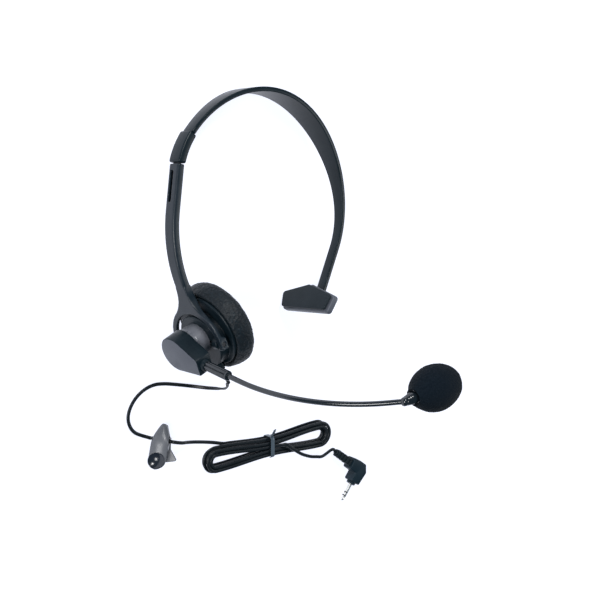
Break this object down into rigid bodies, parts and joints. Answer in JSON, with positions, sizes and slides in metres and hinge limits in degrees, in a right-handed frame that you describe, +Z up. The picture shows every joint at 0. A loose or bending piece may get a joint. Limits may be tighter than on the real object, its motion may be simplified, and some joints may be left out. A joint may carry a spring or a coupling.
{
  "type": "office headset",
  "caption": "Single-ear headset: curved headband with a size slide, tilting foam ear cup, swivelling gooseneck microphone, temple rest, clothing clip and tied cord with an angled plug.",
  "frame": {"origin": "middle of the headset's footprint, without its cord, on the surface it lies on", "axes": "+Z up from the surface, +Y towards the crown of the headband, +X from the ear cup towards the temple rest"},
  "size_m": [0.1715, 0.2448, 0.1525],
  "materials": {
    "black": "satin moulded",
    "satin": "fine texture",
    "foam": "open-cell foam",
    "steel": "plain",
    "rubber": "soft moulded",
    "nickel": "plated"
  },
  "bodies": {
    "ear_cup": {"cup_shell": "black", "baffle_plate": "black", "baffle_screws": "steel", "driver_frame": "satin", "driver_cone": "foam", "driver_magnet": "steel", "ear_cushion": "foam", "pivot_pins": "steel", "hub_barrel": "black", "cord_bush": "rubber", "cord_lead": "rubber", "cord_hank": "rubber", "cord_tail": "rubber", "hank_tie": "steel", "clip_base": "satin", "clip_pin": "steel", "clip_leaf": "steel", "plug_body": "rubber", "plug_boot": "rubber", "plug_sleeve": "nickel", "plug_ring": "nickel", "plug_tip": "nickel", "plug_insulators": "black"},
    "yoke": {"yoke_arm": "black"},
    "headband": {"headband": "black", "size_tongue": "steel", "sleeve_rivet": "steel"},
    "temple": {"temple_shell": "satin", "temple_pad": "rubber", "temple_pin": "steel"},
    "boom": {"pod_base": "black", "pod_cover": "satin", "pod_screws": "steel", "spindle_ring": "steel", "boom_collar": "satin", "gooseneck": "black", "mic_barrel": "black", "mic_capsule": "steel", "windscreen": "foam"},
    "clip_lever": {"clip_lever": "satin"}
  },
  "joints": [
    {"name": "cup_tilt", "type": "hinge", "parent": "ear_cup", "child": "yoke", "pos_m": [-0.03954, -0.05702, 0.02546], "axis": [-0.039, -0.1107, -0.9931], "range_deg": [-12, 3]},
    {"name": "size_slide", "type": "slide", "parent": "yoke", "child": "headband", "axis": [0.1175, 0.9865, -0.1145], "range_m": [0, 0.013]},
    {"name": "temple_tilt", "type": "hinge", "parent": "headband", "child": "temple", "pos_m": [0.04417, -0.03706, 0.01995], "axis": [-0.039, -0.1107, -0.9931], "range_deg": [-12, 12]},
    {"name": "boom_swivel", "type": "hinge", "parent": "ear_cup", "child": "boom", "pos_m": [-0.0485, -0.05856, 0.02598], "axis": [-0.8884, -0.4512, 0.0851], "range_deg": [-40, 90]},
    {"name": "clip_jaw", "type": "hinge", "parent": "ear_cup", "child": "clip_lever", "pos_m": [-0.04872, -0.11708, 0.00697], "axis": [0.6902, -0.0786, 0.7193], "range_deg": [0, 15], "stiffness_Nm_per_rad": 0.05, "springref_deg": -11.46}
  ]
}
